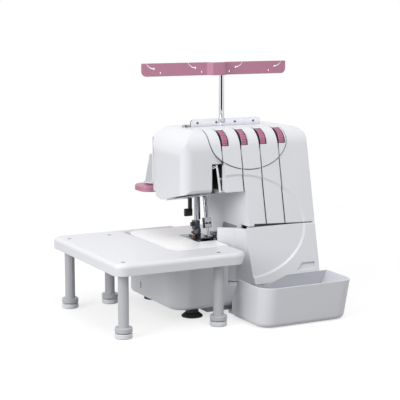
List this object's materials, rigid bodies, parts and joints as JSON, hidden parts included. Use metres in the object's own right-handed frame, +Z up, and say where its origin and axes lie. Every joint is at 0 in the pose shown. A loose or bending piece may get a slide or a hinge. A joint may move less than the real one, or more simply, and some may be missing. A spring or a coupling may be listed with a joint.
{
  "type": "serger overlock machine",
  "caption": "Overlock sewing machine with leaning front, thread stand, tension dials, looper door, waste bin and a clip-on side table on legs.",
  "frame": {"origin": "middle of the footprint on the surface it stands on", "axes": "+X to the machine's right (handwheel side), +Y to the rear (thread stand), +Z up"},
  "size_m": [0.446, 0.322, 0.396],
  "materials": {
    "shell": "smooth moulded, soft gloss",
    "table_shell": "smooth moulded, soft gloss",
    "cone": "moulded",
    "bin": "moulded, satin",
    "stand_pink": "smooth moulded",
    "dial_pink": "fine moulded grip",
    "clear": "clear moulded plastic",
    "chrome": "plated",
    "steel": "ground",
    "casting": "cast",
    "black": "moulded",
    "rubber": "soft",
    "base": "moulded"
  },
  "bodies": {
    "machine": {"bed_casing": "shell", "bed_plate_front": "shell", "bed_plate_rear": "shell", "bottom_tray": "base", "suction_feet": "rubber", "needle_plate": "steel", "needle_plate_screw": "steel", "lower_knife": "steel", "machine_frame": "casting", "front_cover": "shell", "tension_panel": "shell", "rear_cover": "shell", "clear_guide": "clear", "lamp_lens": "clear", "mains_inlet": "black", "drive_motor": "black", "drive_belt": "rubber", "tension_axle": "steel", "tension_discs": "steel", "spool_tray": "stand_pink", "spool_pins": "stand_pink", "cone_holders": "cone", "pole_lower": "chrome"},
    "drive_shaft": {"main_shaft": "steel", "handwheel": "shell", "shaft_pulley": "steel"},
    "motor_rotor": {"motor_pulley": "steel"},
    "arm_rocker": {"arm_shaft": "steel"},
    "needle_carriage": {"needle_bar": "chrome", "needle_clamp": "steel", "needles": "steel", "clamp_screws": "steel"},
    "lifter": {"presser_lifter": "black"},
    "presser": {"presser_bar": "chrome", "foot_ankle": "steel", "presser_foot": "steel", "ankle_screw": "steel"},
    "pressure_setting": {"pressure_screw": "steel"},
    "tension_setting_1": {"tension_dial_1": "dial_pink"},
    "tension_setting_2": {"tension_dial_2": "dial_pink"},
    "tension_setting_3": {"tension_dial_3": "dial_pink"},
    "tension_setting_4": {"tension_dial_4": "dial_pink"},
    "stitch_setting": {"stitch_length_dial": "shell"},
    "differential_setting": {"differential_dial": "shell"},
    "switch": {"power_rocker": "black"},
    "front_door": {"looper_cover": "shell"},
    "bin": {"waste_bin": "bin"},
    "side_table": {"table_board": "table_shell", "table_legs": "table_shell", "table_screws": "steel"},
    "level_front_left": {"table_foot_front_left": "table_shell"},
    "level_front_right": {"table_foot_front_right": "table_shell"},
    "level_rear_left": {"table_foot_rear_left": "table_shell"},
    "level_rear_right": {"table_foot_rear_right": "table_shell"},
    "pole_slider": {"pole_upper": "chrome"},
    "thread_bar": {"guide_bar": "stand_pink"},
    "feed": {"feed_dogs": "steel"},
    "knife": {"upper_knife": "steel"},
    "looper_high": {"upper_looper": "steel"},
    "looper_low": {"lower_looper": "steel"}
  },
  "joints": [
    {"name": "handwheel_turn", "type": "hinge", "parent": "machine", "child": "drive_shaft", "pos_m": [0, 0.044, 0.072], "axis": [1, 0, 0], "continuous": true},
    {"name": "motor_turn", "type": "hinge", "parent": "machine", "child": "motor_rotor", "pos_m": [0.117, 0.094, 0.052], "axis": [1, 0, 0], "continuous": true},
    {"name": "arm_rock", "type": "hinge", "parent": "machine", "child": "arm_rocker", "pos_m": [0, 0.0773, 0.23513], "axis": [-1, 0, 0], "range_deg": [0, 43.2]},
    {"name": "needle_travel", "type": "slide", "parent": "machine", "child": "needle_carriage", "axis": [0, 0.208, 0.9781], "range_m": [0, 0.027]},
    {"name": "lifter_swing", "type": "hinge", "parent": "machine", "child": "lifter", "pos_m": [0.0038, 0.095, 0.2], "axis": [1, 0, 0], "range_deg": [0, 30]},
    {"name": "presser_lift", "type": "slide", "parent": "machine", "child": "presser", "axis": [0, 0, 1], "range_m": [0, 0.006]},
    {"name": "pressure_turn", "type": "hinge", "parent": "machine", "child": "pressure_setting", "pos_m": [-0.024, 0.055, 0.29], "axis": [0, 0, 1], "range_deg": [-180, 180]},
    {"name": "tension_turn_1", "type": "hinge", "parent": "machine", "child": "tension_setting_1", "pos_m": [0.0068, -0.001, 0.271], "axis": [1, 0, 0], "range_deg": [-150, 150]},
    {"name": "tension_turn_2", "type": "hinge", "parent": "machine", "child": "tension_setting_2", "pos_m": [0.0418, -0.001, 0.271], "axis": [1, 0, 0], "range_deg": [-150, 150]},
    {"name": "tension_turn_3", "type": "hinge", "parent": "machine", "child": "tension_setting_3", "pos_m": [0.0768, -0.001, 0.271], "axis": [1, 0, 0], "range_deg": [-150, 150]},
    {"name": "tension_turn_4", "type": "hinge", "parent": "machine", "child": "tension_setting_4", "pos_m": [0.1118, -0.001, 0.271], "axis": [1, 0, 0], "range_deg": [-150, 150]},
    {"name": "stitch_turn", "type": "hinge", "parent": "machine", "child": "stitch_setting", "pos_m": [0.16, -0.013, 0.058], "axis": [1, 0, 0], "range_deg": [-135, 135]},
    {"name": "differential_turn", "type": "hinge", "parent": "machine", "child": "differential_setting", "pos_m": [0.16, -0.013, 0.092], "axis": [1, 0, 0], "range_deg": [-90, 90]},
    {"name": "switch_tip", "type": "hinge", "parent": "machine", "child": "switch", "pos_m": [0.1585, 0.106, 0.073], "axis": [0, 1, 0], "range_deg": [-6, 6]},
    {"name": "door_slide", "type": "slide", "parent": "machine", "child": "front_door", "axis": [1, 0, 0], "range_m": [0, 0.009]},
    {"name": "bin_pull", "type": "slide", "parent": "machine", "child": "bin", "axis": [0, -1, 0], "range_m": [0, 0.15]},
    {"name": "table_pull", "type": "slide", "parent": "machine", "child": "side_table", "axis": [-1, 0, 0], "range_m": [0, 0.24]},
    {"name": "level_turn_front_left", "type": "hinge", "parent": "side_table", "child": "level_front_left", "pos_m": [-0.205, -0.095, 0.01], "axis": [0, 0, 1], "range_deg": [-180, 180]},
    {"name": "level_turn_front_right", "type": "hinge", "parent": "side_table", "child": "level_front_right", "pos_m": [-0.044, -0.095, 0.01], "axis": [0, 0, 1], "range_deg": [-180, 180]},
    {"name": "level_turn_rear_left", "type": "hinge", "parent": "side_table", "child": "level_rear_left", "pos_m": [-0.205, 0.12, 0.01], "axis": [0, 0, 1], "range_deg": [-180, 180]},
    {"name": "level_turn_rear_right", "type": "hinge", "parent": "side_table", "child": "level_rear_right", "pos_m": [-0.134, 0.12, 0.01], "axis": [0, 0, 1], "range_deg": [-180, 180]},
    {"name": "pole_slide", "type": "slide", "parent": "machine", "child": "pole_slider", "axis": [0, 0, 1], "range_m": [-0.065, 0]},
    {"name": "bar_turn", "type": "hinge", "parent": "pole_slider", "child": "thread_bar", "pos_m": [0.083, 0.13, 0.38], "axis": [0, 0, 1], "range_deg": [-90, 90]},
    {"name": "feed_travel", "type": "slide", "parent": "machine", "child": "feed", "axis": [0, 1, 0], "range_m": [-0.002, 0.002]},
    {"name": "knife_travel", "type": "slide", "parent": "machine", "child": "knife", "axis": [0, 0, 1], "range_m": [0, 0.005]},
    {"name": "upper_looper_swing", "type": "hinge", "parent": "machine", "child": "looper_high", "pos_m": [0.021, 0.009, 0.048], "axis": [0, 1, 0], "range_deg": [0, 8]},
    {"name": "lower_looper_swing", "type": "hinge", "parent": "machine", "child": "looper_low", "pos_m": [0.035, 0.009, 0.048], "axis": [0, 1, 0], "range_deg": [-10, 0]}
  ],
  "couplings": [
    {"joint": "motor_turn", "follows": "handwheel_turn", "ratio": 2.75},
    {"joint": "needle_travel", "follows": "arm_rock", "m_per_rad": 0.035792},
    {"joint": "knife_travel", "follows": "arm_rock", "m_per_rad": 0.006625},
    {"joint": "upper_looper_swing", "follows": "arm_rock", "ratio": 0.185},
    {"joint": "lower_looper_swing", "follows": "arm_rock", "ratio": -0.23125},
    {"joint": "presser_lift", "follows": "lifter_swing", "m_per_rad": 0.011448}
  ]
}
